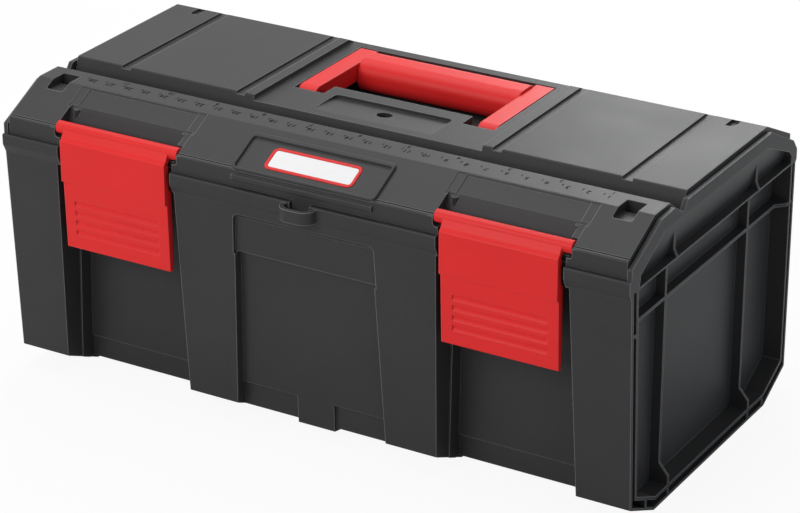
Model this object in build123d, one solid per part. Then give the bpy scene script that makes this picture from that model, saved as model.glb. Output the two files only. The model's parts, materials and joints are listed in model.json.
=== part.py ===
from build123d import *
import math
import os

# A portable tool box, in millimetres. +X runs along its length, -Y is the latch side,
# +Z is up, and the origin is the middle of the bottom of its bounding box.

# Overall sizes
half_length = 163.0
base_height = 122.6
lid_rise = 20.1
front_top_y = -81.7
wall_back_y = 86.5

# Shared clearances
parting_gap = 0.3
side_gap = 0.5
pin_fit = 0.05
pin_end_gap = 0.5

# How far a cut runs past what it cuts, and how far joined shapes lap
over = 1.0
lap = 0.4
edge_round = 0.8

# Base outline, seen from the end
front_lean = 5.5
front_chamfer_run = 24.0
front_chamfer_rise = 10.9
back_chamfer_run = 22.1
back_chamfer_rise = 11.4

# Rim round the top of the base
rim_height = 5.2
rim_front_stand = 1.8
rim_back_stand = 1.2
rim_flare = 1.6
rim_front_flare = 4.0
rim_flare_round = 3.0

# Base walls
wall = 2.0
end_wall = 1.8
back_wall = 3.2
bay_wall = 2.8
corner_wall = 0.6
band_wall = 4.5
foot_height = 3.4
floor_thickness = 2.6
foot_rib = 2.2
pillar_floor_rise = 8.0

# Latch bays
latch_inset = 62.6
bay_depth = 24.2
bay_band_set = 1.0
bay_crease_z = 14.7
bay_top_drop = 4.6
bay_in_reach = 31.4
bay_out_reach = 32.2
bay_in_lean = 3.0
bay_out_lean = 4.2
bay_step_depth = 16.2
bay_step = 0.8
ledge_inset = 3.5
ledge_opening_half = 31.2

# Crease over the set-back band at the foot of every front recess
crease_run = 0.8

# Centre bay
centre_half_top = 35.4
centre_half_foot = 41.0
centre_inset = 0.8
centre_top_drop = 7.9
centre_step_drop = 19.5
centre_step_slope = 1.6
centre_upper_depth = 2.0
centre_lower_depth = 4.9
centre_band_set = 2.0
centre_crease_z = 20.5
centre_corner_round = 3.0
centre_foot_half = 9.8
centre_foot_bottom_z = 6.6

# Ribbed ends
end_depth = 9.5
rib_depth = 4.7
frame_front = 6.4
frame_bottom = 6.2
frame_back = 4.4
front_skin = 1.9
bottom_skin = 1.1
frame_post = 1.5
back_skin = 1.1
back_post = 1.1
slot_pillar_wall = 3.8
slot_front_reach = 9.0
slot_foot_rise = 6.0
rib_thickness = 1.5
rib_front_y = -38.2
rib_back_y = 46.3
shelf_rib_drop = 20.6
rib_bend_inset = 10.6
rib_bend_run = 4.3
rib_end_gap = 0.4
gusset_rise = 10.5
gusset_toe = 5.6
tie_half = 0.7
tie_front_y = -60.5
tie_back_inset = 2.0
tie_rise = 1.0
post_tie_drop = 22.8
post_tie_height = 1.5
post_tie_back_y = -60.0

# Cheeks that stand above the rim at both ends
cheek_thickness = 2.2
cheek_drop = 2.2
cheek_root = 4.0
cheek_front_stand = 0.7
cheek_rim_inset = 0.2
cheek_back_inset = 1.9
cheek_fold_drop = 3.3
cheek_shelf_inset = 1.3
cheek_groove_rise = 2.4
cheek_groove_front = 4.5
cheek_groove_back = 3.8
cheek_ridge_rise = 0.6
cheek_round = 1.0
pocket_top_drop = 8.2
pocket_bottom_drop = 0.3
pocket_depth = 4.9
pocket_wall = 1.6
pocket_front_inset = 7.2
pocket_shoulder_inset = 8.3
pocket_back_inset = 4.8
pocket_back_low = 1.6
pocket_back_step = 2.4
pocket_back_high = 0.9
pocket_slope_front = 5.3
pocket_slope_back = 4.7
cheek_rib_stand = 2.4
cheek_rib_flare = 3.6
cheek_rib_toe = 0.4
cheek_rib_root = 0.6

# Padlock lug on the rim and the tongue of the lid in it
lug_half = 9.0
lug_stand = 6.5
lug_low_drop = 6.8
lug_high_drop = 0.8
lug_wall = 2.0
lug_flat = 0.4
tongue_half = 4.7
tongue_thickness = 1.8
tongue_drop = 6.0
tongue_gap = 0.5

# Lid outline, seen from the end
lid_front_inset = 0.5
lid_back_inset = 1.4
front_fold_drop = 12.1
back_fold_drop = 12.8
slope_run = 24.9
shelf_depth = 14.5
groove_front_run = 13.1
groove_back_run = 3.0
groove_depth = 9.2
back_slope_run = 26.9
lid_skin = 2.4
lid_end_wall = 2.2
lid_end_gap = 1.3

# Lowered middle zone of the lid top
zone_margin = 7.0
zone_drop = 2.5
zone_front_lap = 2.0

# Small features of the lid top
strip_line_offset = 7.45
strip_line_width = 4.5
outer_line_inset = 30.85
outer_line_width = 4.9
line_depth = 1.25
line_back_run = 6.0
line_front_run = 4.0
fold_line_rise = 1.3
fold_line_width = 0.7
fold_line_depth = 0.6
corner_notch_inset = 15.5
corner_notch_width = 4.5
corner_notch_front = 8.0
corner_notch_depth = 1.6
slot_end_inset = 10.5
slot_width = 9.5
slot_back_inset = 5.5
slot_depth = 4.1
slot_reach = 5.7
slot_pit_length = 3.7
slot_pit_depth = 9.0
slot_corner = 1.2
panel_half = 31.2
panel_front_inset = 4.1
panel_length = 21.3
panel_depth = 1.8
panel_round = 2.5
panel_wall = 2.0
dimple_radius = 3.9
dimple_inset = 12.1
dimple_depth = 4.0

# Label field on the sloped front of the lid
label_half = 22.7
label_height = 12.2
label_inset = 10.0
label_thickness = 1.2
label_sink = 1.1
label_gap = 0.3
label_radius = 2.6
bead_margin = 14.7
bead_top_inset = 4.1
bead_width = 1.4
bead_top_width = 2.6
bead_height = 1.3
bead_root = 0.8
bead_radius = 2.5
bead_inner_radius = 1.5
bead_round = 0.6
lip_inset = 1.0
lip_drop = 4.6
lip_height = 3.0
lip_stand = 1.5
lip_round = 0.9

# Latches
latch_axis_inset = 3.3
latch_axis_drop = 0.5
barrel_radius = 3.0
barrel_reach = 4.5
barrel_gap = 0.4
crown_angle = 55.0
journal_radius = 1.25
journal_length = 1.6
journal_end_gap = 0.3
latch_half = 28.9
latch_stand = 6.4
latch_crease_drop = 4.4
latch_crease_rise = 1.5
latch_crease_run = 1.5
latch_step_drop = 24.2
latch_step = 1.6
latch_lean = 1.1
latch_length = 58.4
latch_plate = 2.2
latch_flange = 2.0
latch_flange_top_gap = 0.8
latch_slim_stand = 3.6
latch_tip_chamfer = 2.4
latch_tip_run = 6.0
hook_gap = 0.5
hook_inset = 8.9
hook_rise = 3.6
hook_top_gap = 1.6
hook_chamfer = 1.2
grip_line_count = 4
grip_line_drop = 10.9
grip_line_pitch = 4.93
grip_line_margin = 5.6
grip_line_radius = 2.0
grip_line_depth = 0.7
latch_round = 1.4
room_floor_drop = 4.1
room_depth = 10.2
room_foot_depth = 6.0
room_wall = 2.2
room_edge = 1.0
room_corner_depth = 6.6
room_corner_drop = 1.0
room_round = 1.5
skirt_gap = 0.1
field_margin = 1.4
field_depth = 0.9
field_top_gap = 0.3
field_ramp = 0.5
strip_width = 4.6
strip_depth = 0.4
boss_radius = 1.6
boss_offset = 1.2
boss_top_drop = 1.2

# Handle
handle_axis_y = 4.3
arm_in = 43.2
arm_width = 9.5
arm_end_radius = 5.2
arm_low_drop = 3.5
arm_heel_drop = 1.7
arm_heel_run = 6.0
arm_back_gap = 0.3
arm_round = 1.2
bar_radius = 4.0
grip_depth = 20.2
grip_height = 16.1
grip_back_inset = 0.4
grip_stand = 1.2
grip_radius = 7.2
grip_back_radius = 6.5
grip_end_gap = 0.2
well_gap = 0.6
well_back_gap = 0.5
well_floor = 2.0
well_wall = 2.0
well_front_gap = 1.7
well_lip = 3.0
well_lip_side = 6.4
handle_pin_radius = 2.25
handle_pin_grip = 8.1
handle_pin_seat = 5.1
handle_boss_radius = 5.0
handle_boss_end = 1.6

# Hinge
hinge_behind = 0.3
hinge_above_rim = 0.4
knuckle_radius = 3.2
knuckle_gap = 0.4
knuckle_web = 1.9
knuckle_web_drop = 4.0
hinge_end_inset = 53.0
hinge_width = 50.0
hinge_knuckle = 10.0
hinge_pin_radius = 1.5

# Heights that follow from the sizes above
rim_top_z = base_height
wall_top_z = rim_top_z - rim_height
lid_low_z = rim_top_z + parting_gap
height = lid_low_z + lid_rise
floor_top_z = foot_height + floor_thickness
bay_top_z = wall_top_z - bay_top_drop
centre_top_z = wall_top_z - centre_top_drop
centre_step_z = centre_top_z - centre_step_drop
shelf_rib_z = wall_top_z - shelf_rib_drop
pocket_top_z = height - pocket_top_drop
pocket_bottom_z = wall_top_z - pocket_bottom_drop
fold_front_z = height - front_fold_drop
fold_back_z = height - back_fold_drop
groove_bottom_z = height - groove_depth
zone_z = height - zone_drop
lip_low_z = fold_front_z - lip_drop
latch_axis_z = fold_front_z - latch_axis_drop
latch_crease_z = latch_axis_z - latch_crease_drop
latch_step_z = latch_axis_z - latch_step_drop
latch_bottom_z = latch_axis_z - latch_length
room_floor_z = latch_axis_z - room_floor_drop
well_floor_z = lid_low_z + well_floor
handle_axis_z = zone_z - arm_end_radius
arm_low_z = handle_axis_z - arm_low_drop
grip_high_z = zone_z + grip_stand
hinge_z = rim_top_z + hinge_above_rim

# Places along Y that follow
front_foot_y = front_top_y + front_lean
foot_front_y = front_foot_y + front_chamfer_run
foot_back_y = wall_back_y - back_chamfer_run
rim_front_y = front_top_y - rim_front_stand
rim_back_y = wall_back_y + rim_back_stand
bay_floor_y = front_top_y + bay_depth
tub_front_y = bay_floor_y + bay_wall
ledge_front_y = front_top_y + ledge_inset
bay_step_y = front_top_y + bay_step_depth
tongue_back_y = front_top_y + lid_front_inset + tongue_thickness
tongue_low_z = rim_top_z - tongue_drop
notch_half = tongue_half + tongue_gap
notch_back_y = tongue_back_y + tongue_gap
lug_front_y = rim_front_y - lug_stand
lid_front_y = front_top_y + lid_front_inset
lid_back_y = wall_back_y - lid_back_inset
shelf_front_y = lid_front_y + slope_run
shelf_back_y = shelf_front_y + shelf_depth
groove_bottom_y = shelf_back_y + groove_front_run
top_front_y = groove_bottom_y + groove_back_run
top_back_y = lid_back_y - back_slope_run
slot_front_y = shelf_front_y - slot_reach
slot_back_y = shelf_back_y - slot_back_inset
slot_pit_y = slot_back_y - slot_pit_length
panel_front_y = top_front_y + panel_front_inset
panel_back_y = panel_front_y + panel_length
panel_floor_z = zone_z - panel_depth
panel_under_z = panel_floor_z - panel_wall
dimple_y = panel_front_y + dimple_inset
label_mid_y = lid_front_y + label_inset
latch_axis_y = lid_front_y + latch_axis_inset
latch_face_y = latch_axis_y - latch_stand
latch_low_face_y = latch_face_y + latch_step
latch_tip_y = latch_low_face_y + latch_lean
latch_back_y = ledge_front_y - hook_gap
room_back_y = latch_axis_y + room_depth
room_foot_y = latch_axis_y + room_foot_depth
room_skirt_y = ledge_front_y - skirt_gap
arm_back_y = top_back_y - arm_back_gap
grip_back_y = arm_back_y - grip_back_inset
well_front_y = handle_axis_y - arm_end_radius - well_front_gap
well_lip_y = handle_axis_y + well_lip
hinge_y = wall_back_y + hinge_behind

# Places along X that follow
latch_mid_x = half_length - latch_inset
end_floor_x = half_length - end_depth
rib_face_x = half_length - rib_depth
tub_half = end_floor_x - end_wall
bay_in_top = latch_mid_x - bay_in_reach
bay_out_top = latch_mid_x + bay_out_reach
bay_in_foot = bay_in_top - bay_in_lean
bay_out_foot = bay_out_top + bay_out_lean
slot_inner_x = bay_out_foot + slot_pillar_wall
pocket_floor_x = half_length - pocket_depth
lid_half = half_length - cheek_thickness - side_gap
lid_wall_out = pocket_floor_x - pocket_wall - lid_end_gap
lid_wall_in = lid_wall_out - lid_end_wall
barrel_half = latch_half + barrel_reach
room_half = barrel_half + barrel_gap
arm_out = arm_in + arm_width
well_half = arm_out + well_gap
well_lip_half = arm_in - well_lip_side
zone_half = well_half + zone_margin
outer_line_x = half_length - outer_line_inset
corner_notch_out = half_length - corner_notch_inset
corner_notch_in = corner_notch_out - corner_notch_width
slot_out = half_length - slot_end_inset
slot_in = slot_out - slot_width
hinge_out = half_length - hinge_end_inset
hinge_in = hinge_out - hinge_width
bead_half = label_half + bead_margin
rib_bend_y = wall_back_y - rib_bend_inset

# Sizes of the blocks that cuts are made from
far_x = 2 * half_length
near_y = 2 * lug_front_y
far_y = 2 * wall_back_y
far_z = 2 * height


def box(x0, x1, y0, y1, z0, z1):
    size = (x1 - x0, y1 - y0, z1 - z0)
    middle = ((x0 + x1) / 2, (y0 + y1) / 2, (z0 + z1) / 2)
    return Pos(*middle) * Box(*size)


def prism(points, x0, x1, radii=None):
    # A profile seen from the end, run along X, with its corners rounded where radii says so.
    if radii is None:
        outline = Polyline(*points, close=True)
    else:
        outline = FilletPolyline(*points, radius=radii, close=True)
    return extrude(Plane.YZ.offset(x0) * make_face(outline), amount=x1 - x0)


def front_prism(points, y0, y1, radii=None):
    # A profile seen from the front, run along Y.
    if radii is None:
        outline = Polyline(*points, close=True)
    else:
        outline = FilletPolyline(*points, radius=radii, close=True)
    return extrude(Plane.XZ.offset(-y1) * make_face(outline), amount=y1 - y0)


def top_prism(points, z0, z1):
    # A profile seen from above, run along Z.
    face = make_face(Polyline(*points, close=True))
    return extrude(Plane.XY.offset(z0) * face, amount=z1 - z0)


def pad(x0, x1, y0, y1, z0, z1, radius):
    # A block whose upright corners are rounded.
    shape = Pos((x0 + x1) / 2, (y0 + y1) / 2) * RectangleRounded(x1 - x0, y1 - y0, radius)
    return extrude(Plane.XY.offset(z0) * shape, amount=z1 - z0)


def rod(x0, x1, y, z, radius):
    disc = Pos(y, z) * Circle(radius)
    return extrude(Plane.YZ.offset(x0) * disc, amount=x1 - x0)


def both(shape):
    return shape + mirror(shape, about=Plane.YZ)


def inset(points, distances):
    # Moves each edge of a polygon, which runs anticlockwise, inwards by its own distance.
    count = len(points)
    lines = []
    for i in range(count):
        ay, az = points[i]
        by, bz = points[(i + 1) % count]
        length = math.hypot(by - ay, bz - az)
        ny = -(bz - az) / length
        nz = (by - ay) / length
        shift = distances[i]
        lines.append((ay + ny * shift, az + nz * shift, by - ay, bz - az))
    moved = []
    for i in range(count):
        py, pz, uy, uz = lines[i - 1]
        qy, qz, vy, vz = lines[i]
        cross = uy * vz - uz * vy
        t = ((qy - py) * vz - (qz - pz) * vy) / cross
        moved.append((py + uy * t, pz + uz * t))
    return moved


def skin_y(z):
    # The front wall leans, so its Y depends on the height.
    slope = (front_top_y - front_foot_y) / (wall_top_z - front_chamfer_rise)
    return front_foot_y + slope * (z - front_chamfer_rise)


def centre_y(z):
    # The deep part of the centre bay is parallel to the front wall.
    return skin_y(z) + centre_lower_depth


def slope_z(y):
    # Height of the sloped front face of the lid.
    slope = (height - fold_front_z) / (shelf_front_y - lid_front_y)
    return fold_front_z + slope * (y - lid_front_y)


def base_outline(top_z):
    return [
        (foot_front_y, 0.0),
        (foot_back_y, 0.0),
        (wall_back_y, back_chamfer_rise),
        (wall_back_y, top_z),
        (skin_y(top_z), top_z),
        (front_foot_y, front_chamfer_rise),
    ]


def frame_line(front, bottom, back):
    # The outline of a ribbed end, drawn in by a margin at the front, bottom and back.
    outline = base_outline(wall_top_z - over)
    return inset(outline, [bottom, bottom, back, 0.0, front, bottom])


def wedge(inner_top, inner_bottom):
    # The room outside a face that leans outwards over the height of the end pocket.
    points = [
        (inner_bottom, pocket_bottom_z),
        (far_x, pocket_bottom_z),
        (far_x, pocket_top_z),
        (inner_top, pocket_top_z),
    ]
    return front_prism(points, front_top_y, wall_back_y)


def cheek_outline():
    front = lid_front_y - cheek_front_stand
    back = rim_back_y - cheek_rim_inset
    top = height - cheek_drop
    return [
        (front, rim_top_z - cheek_root),
        (back, rim_top_z - cheek_root),
        (back, rim_top_z),
        (lid_back_y - cheek_back_inset, fold_back_z - cheek_drop),
        (top_back_y - lap, top),
        (top_front_y - cheek_groove_back, top),
        (groove_bottom_y - cheek_groove_front, groove_bottom_z + cheek_groove_rise),
        (shelf_back_y, top + cheek_ridge_rise),
        (shelf_front_y + cheek_shelf_inset, top),
        (front, fold_front_z - cheek_fold_drop),
    ]


def pocket_outline(grow):
    points = [
        (front_top_y + pocket_front_inset, pocket_bottom_z),
        (wall_back_y - pocket_back_inset, pocket_bottom_z),
        (wall_back_y - pocket_back_inset, rim_top_z - pocket_back_low),
        (wall_back_y - pocket_back_inset - pocket_back_step, rim_top_z + pocket_back_high),
        (top_back_y - pocket_slope_back, pocket_top_z),
        (shelf_front_y + pocket_slope_front, pocket_top_z),
        (front_top_y + pocket_shoulder_inset, rim_top_z),
    ]
    return inset(points, [-grow] * len(points))


def pocket_face_x(z):
    share = (z - pocket_bottom_z) / (pocket_top_z - pocket_bottom_z)
    return pocket_floor_x + (half_length - pocket_floor_x) * share


def pocket_back_block(gap):
    # The wall behind the end pocket, grown by a gap where room for it is cut elsewhere.
    inner_top = half_length - pocket_wall - gap
    inner_bottom = pocket_floor_x - pocket_wall - gap
    block = prism(pocket_outline(pocket_wall + gap), inner_bottom, half_length)
    return block & wedge(inner_top, inner_bottom)


def make_cheek():
    rounds = [0.0, 0.0, 0.0] + [cheek_round] * 7
    plate = prism(cheek_outline(), half_length - cheek_thickness, half_length, rounds)
    return plate + pocket_back_block(0.0)


def cheek_pocket():
    region = prism(pocket_outline(0.0), pocket_floor_x - over, half_length + over)
    return region & wedge(half_length, pocket_floor_x)


def cheek_rib(y):
    # Its upright edge runs up until the leaning face of the pocket swallows it.
    low = pocket_bottom_z - over
    flare_z = pocket_bottom_z + cheek_rib_flare
    crest_x = pocket_face_x(flare_z) + cheek_rib_stand
    lean = (half_length - pocket_floor_x) / (pocket_top_z - pocket_bottom_z)
    fade_z = flare_z + cheek_rib_stand / lean
    points = [
        (pocket_floor_x - cheek_rib_root, low),
        (half_length, low),
        (half_length, pocket_bottom_z + cheek_rib_toe),
        (crest_x, flare_z),
        (crest_x, fade_z),
        (crest_x - cheek_rib_root, fade_z),
    ]
    half = rib_thickness / 2
    return front_prism(points, y - half, y + half)


def foot_gusset(y):
    low = frame_bottom - cheek_rib_root
    points = [
        (rib_face_x - lap, low + gusset_rise),
        (rib_face_x - lap, low),
        (half_length, low),
        (half_length, low + gusset_rise - gusset_toe),
        (rib_face_x, low + gusset_rise),
    ]
    half = rib_thickness / 2
    return front_prism(points, y - half, y + half)


def shelf_rib_bend():
    # At the back the shelf rib bends outwards and runs on to the back skin.
    face_x = half_length - rib_end_gap
    root_x = end_floor_x - lap
    back = wall_back_y - lap
    points = [
        (root_x, rib_bend_y - over),
        (rib_face_x, rib_bend_y - over),
        (rib_face_x, rib_bend_y),
        (face_x, rib_bend_y + rib_bend_run),
        (face_x, back),
        (root_x, back),
    ]
    half = rib_thickness / 2
    return top_prism(points, shelf_rib_z - half, shelf_rib_z + half)


def end_cuts():
    # The open bays of one ribbed end, and the slot between its skin and its frame.
    opening = frame_line(frame_front, frame_bottom, frame_back)
    shallow = prism(opening, rib_face_x, half_length + over)
    deep = prism(opening, end_floor_x, half_length)
    half = rib_thickness / 2
    for y in (rib_front_y, rib_back_y):
        deep = deep - box(0, far_x, y - half, y + half, -over, height)
    deep = deep - box(0, far_x, near_y, far_y, shelf_rib_z - half, shelf_rib_z + half)
    skin_line = frame_line(front_skin, bottom_skin, back_skin)
    post_line = frame_line(frame_front - frame_post, frame_bottom - frame_post, frame_back - back_post)
    slot = prism(skin_line, slot_inner_x, half_length + over)
    slot = slot - prism(post_line, 0.0, half_length + 2 * over)
    # The slot runs far in only at the front, where it hollows the corner pillar.
    slot = slot - box(0, end_floor_x, front_foot_y + slot_front_reach, far_y, -over, height)
    slot = slot - box(0, end_floor_x, near_y, far_y, -over, front_chamfer_rise + slot_foot_rise)
    for y in (tie_front_y, rib_front_y, rib_back_y, foot_back_y - tie_back_inset):
        slot = slot - box(0, far_x, y - tie_half, y + tie_half, -over, front_chamfer_rise + tie_rise)
    tie_z = wall_top_z - post_tie_drop
    slot = slot - box(0, far_x, near_y, post_tie_back_y, tie_z, tie_z + post_tie_height)
    return shallow + deep + slot


def end_extras():
    extras = foot_gusset(rib_front_y) + foot_gusset(rib_back_y)
    return extras + cheek_rib(rib_front_y) + cheek_rib(rib_back_y) + shelf_rib_bend()


def bay_block(in_foot, in_top, out_foot, out_top, y0, y1, z0, z1):
    # A block whose two sides lean between their X at the floor and at full height.
    slope_in = (in_top - in_foot) / height
    slope_out = (out_top - out_foot) / height
    points = [
        (in_foot + slope_in * z0, z0),
        (out_foot + slope_out * z0, z0),
        (out_foot + slope_out * z1, z1),
        (in_foot + slope_in * z1, z1),
    ]
    return front_prism(points, y0, y1)


def latch_bay():
    band_y = bay_floor_y + bay_band_set
    profile = [
        (near_y, -over),
        (band_y, -over),
        (band_y, bay_crease_z - crease_run),
        (bay_floor_y, bay_crease_z),
        (bay_floor_y, bay_top_z),
        (near_y, bay_top_z),
    ]
    # The sides step in part of the way back.
    wide = bay_block(bay_in_foot, bay_in_top, bay_out_foot, bay_out_top,
                     near_y, bay_step_y, -over, bay_top_z)
    narrow = bay_block(bay_in_foot + bay_step, bay_in_top + bay_step, bay_out_foot - bay_step,
                       bay_out_top - bay_step, near_y, band_y + over, -over, bay_top_z)
    lower = prism(profile, 0.0, half_length) & (wide + narrow)
    upper = box(latch_mid_x - ledge_opening_half, latch_mid_x + ledge_opening_half, near_y, ledge_front_y,
                bay_top_z - over, rim_top_z + over)
    return lower + upper


def centre_outline(inset_x, top_z):
    # The bay seen from the front, from its middle to its leaning side.
    foot_x = centre_half_foot - inset_x
    top_x = foot_x + (centre_half_top - centre_half_foot) * top_z / height
    return [(0.0, -over), (foot_x, -over), (top_x, top_z), (0.0, top_z)]


def centre_bay():
    step_y = skin_y(centre_step_z) + centre_upper_depth
    high_z = centre_top_z - centre_upper_depth
    shallow = [
        (near_y, centre_step_z - over),
        (step_y, centre_step_z - over),
        (skin_y(high_z) + centre_upper_depth, high_z),
        (skin_y(centre_top_z), centre_top_z),
        (near_y, centre_top_z),
    ]
    low_step_z = centre_step_z - centre_step_slope
    band_y = centre_y(centre_crease_z) + centre_band_set
    deep = [
        (near_y, -over),
        (band_y, -over),
        (band_y, centre_crease_z - crease_run),
        (centre_y(centre_crease_z), centre_crease_z),
        (centre_y(low_step_z), low_step_z),
        (step_y, centre_step_z),
        (near_y, centre_step_z),
    ]
    rounds = [0.0, 0.0, centre_corner_round, 0.0]
    wide = front_prism(centre_outline(0.0, centre_top_z), near_y, tub_front_y, rounds)
    narrow = front_prism(centre_outline(centre_inset, centre_step_z), near_y, tub_front_y)
    upper = prism(shallow, 0.0, half_length) & wide
    return upper + (prism(deep, 0.0, half_length) & narrow)


def centre_foot():
    # The middle of the deep wall runs on down past its crease as a foot.
    high = centre_crease_z + over
    points = [
        (centre_y(centre_foot_bottom_z), centre_foot_bottom_z),
        (tub_front_y, foot_height),
        (tub_front_y, high),
        (centre_y(high), high),
    ]
    return prism(points, -centre_foot_half, centre_foot_half)


def under_cut():
    # Lifts the floor between the feet, which run from front to back.
    shape = box(-centre_half_foot, centre_half_foot, near_y, far_y, -over, foot_height)
    side = box(bay_in_foot, bay_out_foot, near_y, far_y, -over, foot_height)
    y0 = foot_front_y + wall
    y1 = foot_back_y - wall
    middle = box(centre_half_foot + foot_rib, bay_in_foot - foot_rib, y0, y1, -over, foot_height)
    corner = box(bay_out_foot + foot_rib, end_floor_x - foot_rib, y0, y1, -over, foot_height)
    return shape + both(side + middle + corner)


def pillar_room(front_wall, x0, x1):
    # The hollow of a front pillar, behind its leaning skin.
    low = front_chamfer_rise + pillar_floor_rise
    points = [
        (skin_y(low) + front_wall, low),
        (tub_front_y, low),
        (tub_front_y, far_z),
        (skin_y(wall_top_z) + front_wall, far_z),
        (skin_y(wall_top_z) + front_wall, wall_top_z),
    ]
    return prism(points, x0, x1)


def tub():
    # The space inside the base, reaching into the hollow pillars and over the bays.
    back = wall_back_y - back_wall
    points = [
        (tub_front_y, floor_top_z),
        (foot_back_y + end_wall, floor_top_z),
        (back, back_chamfer_rise + floor_thickness),
        (back, far_z),
        (tub_front_y, far_z),
    ]
    space = prism(points, -tub_half, tub_half)
    low = centre_crease_z + wall
    centre_points = [
        (centre_y(low) + wall, low),
        (tub_front_y + over, low),
        (tub_front_y + over, far_z),
        (centre_y(centre_step_z) + wall, far_z),
        (centre_y(centre_step_z) + wall, centre_step_z),
    ]
    centre = prism(centre_points, 0.0, bay_in_foot - wall)
    upper_y = skin_y(centre_step_z) + centre_upper_depth + wall
    plate = box(0.0, centre_half_top, upper_y, centre_y(centre_step_z) + wall + over,
                centre_step_z + wall, far_z)
    band = box(0.0, centre_half_top, rim_front_y + band_wall, upper_y + over, centre_top_z + wall, far_z)
    pillar = pillar_room(wall, centre_half_foot + wall, bay_in_foot - wall)
    corner = pillar_room(frame_front + corner_wall, bay_out_foot + wall, tub_half)
    trough = box(bay_in_foot + wall, bay_out_top - wall, ledge_front_y + wall, tub_front_y + over,
                 bay_top_z + wall, far_z)
    return space + both(centre + plate + band + pillar + corner + trough)


def tongue_notch(front_y, grow):
    # The notch in the rim that the tongue of the lid hangs in, or the wall round it.
    return box(-notch_half - grow, notch_half + grow, front_y, notch_back_y + grow,
               tongue_low_z - tongue_gap - grow, rim_top_z)


def lug():
    # A half ring on the middle of the rim, open from above and below.
    low = rim_top_z - lug_low_drop
    high = rim_top_z - lug_high_drop
    outer = box(-lug_half, lug_half, lug_front_y, rim_front_y + over, low, high)
    corners = outer.edges().filter_by(Axis.Z).group_by(Axis.Y)[0]
    outer = fillet(corners, lug_stand - lug_flat)
    half = lug_half - lug_wall
    hole = box(-half, half, lug_front_y + lug_wall, rim_front_y, low - over, high + over)
    corners = hole.edges().filter_by(Axis.Z).group_by(Axis.Y)[0]
    hole = fillet(corners, lug_stand - lug_wall - lug_flat)
    return outer - hole


def base_knuckles():
    shape = rod(hinge_in, hinge_in + hinge_knuckle, hinge_y, hinge_z, knuckle_radius)
    shape = shape + rod(hinge_out - hinge_knuckle, hinge_out, hinge_y, hinge_z, knuckle_radius)
    y0 = wall_back_y - over
    y1 = hinge_y + knuckle_web
    low = rim_top_z - knuckle_web_drop
    shape = shape + box(hinge_in, hinge_in + hinge_knuckle, y0, y1, low, hinge_z)
    return shape + box(hinge_out - hinge_knuckle, hinge_out, y0, y1, low, hinge_z)


def make_base():
    rounds = [edge_round, edge_round, edge_round, 0.0, 0.0, edge_round]
    body = prism(base_outline(rim_top_z), -half_length, half_length, rounds)
    flare_z = wall_top_z - rim_front_flare
    rim_points = [
        (skin_y(flare_z), flare_z),
        (wall_back_y, wall_top_z - rim_flare),
        (rim_back_y, wall_top_z),
        (rim_back_y, rim_top_z),
        (rim_front_y, rim_top_z),
        (rim_front_y, wall_top_z),
    ]
    rim_rounds = [0.0, 0.0, edge_round, edge_round, edge_round, rim_flare_round]
    body = body + prism(rim_points, -half_length, half_length, rim_rounds)
    body = body + both(make_cheek())
    body = body - both(cheek_pocket())
    body = body - both(end_cuts())
    body = body + both(end_extras())
    body = body - both(latch_bay() + centre_bay())
    body = body + centre_foot()
    body = body - tub()
    body = body - under_cut()
    body = body + lug() + tongue_notch(front_top_y + lap, wall)
    body = body - tongue_notch(rim_front_y - lap, 0.0)
    body = body + both(base_knuckles())
    room = rod(hinge_in + hinge_knuckle, hinge_out - hinge_knuckle, hinge_y, hinge_z,
               knuckle_radius + knuckle_gap)
    body = body - both(room)
    return body - both(rod(hinge_in - over, hinge_out + over, hinge_y, hinge_z, hinge_pin_radius))


def lid_outline():
    return [
        (lid_front_y, lid_low_z),
        (lid_back_y, lid_low_z),
        (lid_back_y, fold_back_z),
        (top_back_y, height),
        (top_front_y, height),
        (groove_bottom_y, groove_bottom_z),
        (shelf_back_y, height),
        (shelf_front_y, height),
        (lid_front_y, fold_front_z),
    ]


def lid_solid(x0, x1):
    return prism(lid_outline(), x0, x1, [0.0, 0.0] + [edge_round] * 7)


def lid_hollow():
    inner = inset(lid_outline(), [0.0] + [lid_skin] * 8)
    inner[0] = (inner[0][0], lid_low_z - over)
    inner[1] = (inner[1][0], lid_low_z - over)
    return inner


def make_lid_skin():
    zone_front = top_front_y - zone_front_lap
    solid = lid_solid(-lid_half, lid_half)
    solid = solid - box(-zone_half, zone_half, zone_front, far_y, zone_z, far_z)
    space = prism(lid_hollow(), -half_length, half_length)
    ceiling_half = zone_half + lid_skin
    ceiling = box(-ceiling_half, ceiling_half, zone_front, far_y, zone_z - lid_skin, far_z)
    skin = solid - (space - ceiling)
    return skin + both(lid_solid(lid_wall_in, lid_wall_out))


def lid_latch_blocks():
    half = room_half + room_wall
    points = [
        (lid_front_y, lid_low_z),
        (room_skirt_y + wall, lid_low_z),
        (room_skirt_y + wall, room_floor_z - wall),
        (room_back_y + wall, room_floor_z - wall),
        (room_back_y + wall, slope_z(room_back_y) + lap),
        (room_back_y, slope_z(room_back_y)),
        (lid_front_y, fold_front_z),
    ]
    return prism(points, latch_mid_x - half, latch_mid_x + half)


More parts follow.
